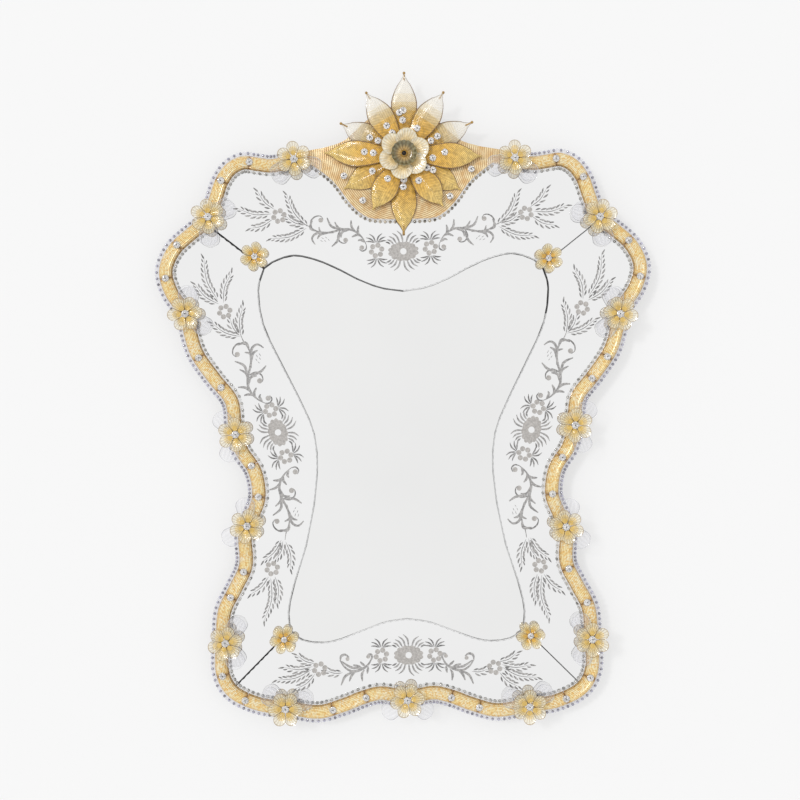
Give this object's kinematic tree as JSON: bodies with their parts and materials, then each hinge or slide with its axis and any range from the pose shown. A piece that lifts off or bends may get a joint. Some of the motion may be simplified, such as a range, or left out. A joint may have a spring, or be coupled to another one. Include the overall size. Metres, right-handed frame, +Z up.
{
  "type": "wall mirror",
  "caption": "Ornate Venetian-style wall mirror with engraved border plates, a gold-glass frame with glass flowers and a pointed flower crest.",
  "frame": {"origin": "centre of the wall cleat's flat rear face, on the wall plane", "axes": "+Z up, +Y into the wall, +X to the right of someone looking at the mirror, which faces -Y"},
  "size_m": [0.9112, 0.0681, 1.189],
  "materials": {
    "stained_wood": "dark stain, satin",
    "mirror_glass": "silvered mirror glass, polished",
    "gold_glass": "ribbed glass over gold leaf",
    "clear_glass": "clear pressed glass, polished",
    "milky_glass": "milky glass with a little gold",
    "olive_glass": "olive-grey glass, polished"
  },
  "bodies": {
    "root": {"backboard": "stained_wood", "wall_cleat": "stained_wood", "lower_spacer": "stained_wood", "mirror_centre": "mirror_glass", "mirror_top": "mirror_glass", "mirror_left": "mirror_glass", "mirror_right": "mirror_glass", "mirror_bottom": "mirror_glass", "gold_bar_left_1": "gold_glass", "gold_bar_left_2": "gold_glass", "gold_bar_left_3": "gold_glass", "gold_bar_left_4": "gold_glass", "gold_bar_left_5": "gold_glass", "gold_bar_left_6": "gold_glass", "gold_bar_left_7": "gold_glass", "gold_bar_right_1": "gold_glass", "gold_bar_right_2": "gold_glass", "gold_bar_right_3": "gold_glass", "gold_bar_right_4": "gold_glass", "gold_bar_right_5": "gold_glass", "gold_bar_right_6": "gold_glass", "gold_bar_right_7": "gold_glass", "flower_left_1": "clear_glass", "flower_left_2": "clear_glass", "flower_left_3": "clear_glass", "flower_left_4": "clear_glass", "flower_left_5": "clear_glass", "flower_left_6": "clear_glass", "flower_left_7": "clear_glass", "flower_right_1": "clear_glass", "flower_right_2": "clear_glass", "flower_right_3": "clear_glass", "flower_right_4": "clear_glass", "flower_right_5": "clear_glass", "flower_right_6": "clear_glass", "flower_right_7": "clear_glass", "flower_bottom": "clear_glass", "corner_flower_1": "clear_glass", "corner_flower_2": "clear_glass", "corner_flower_3": "clear_glass", "corner_flower_4": "clear_glass", "crest_panel": "gold_glass", "crest_leaf_1": "clear_glass", "crest_leaf_2": "clear_glass", "crest_leaf_3": "clear_glass", "crest_leaf_4": "clear_glass", "crest_leaf_5": "clear_glass", "crest_petal_1": "gold_glass", "crest_petal_2": "gold_glass", "crest_petal_3": "gold_glass", "crest_petal_4": "gold_glass", "crest_petal_5": "gold_glass", "crest_petal_6": "gold_glass", "crest_petal_7": "gold_glass", "crest_flower": "milky_glass", "crest_centre": "olive_glass", "inner_edging": "clear_glass", "outer_edging": "clear_glass", "crest_edging": "clear_glass"}
  },
  "joints": []
}
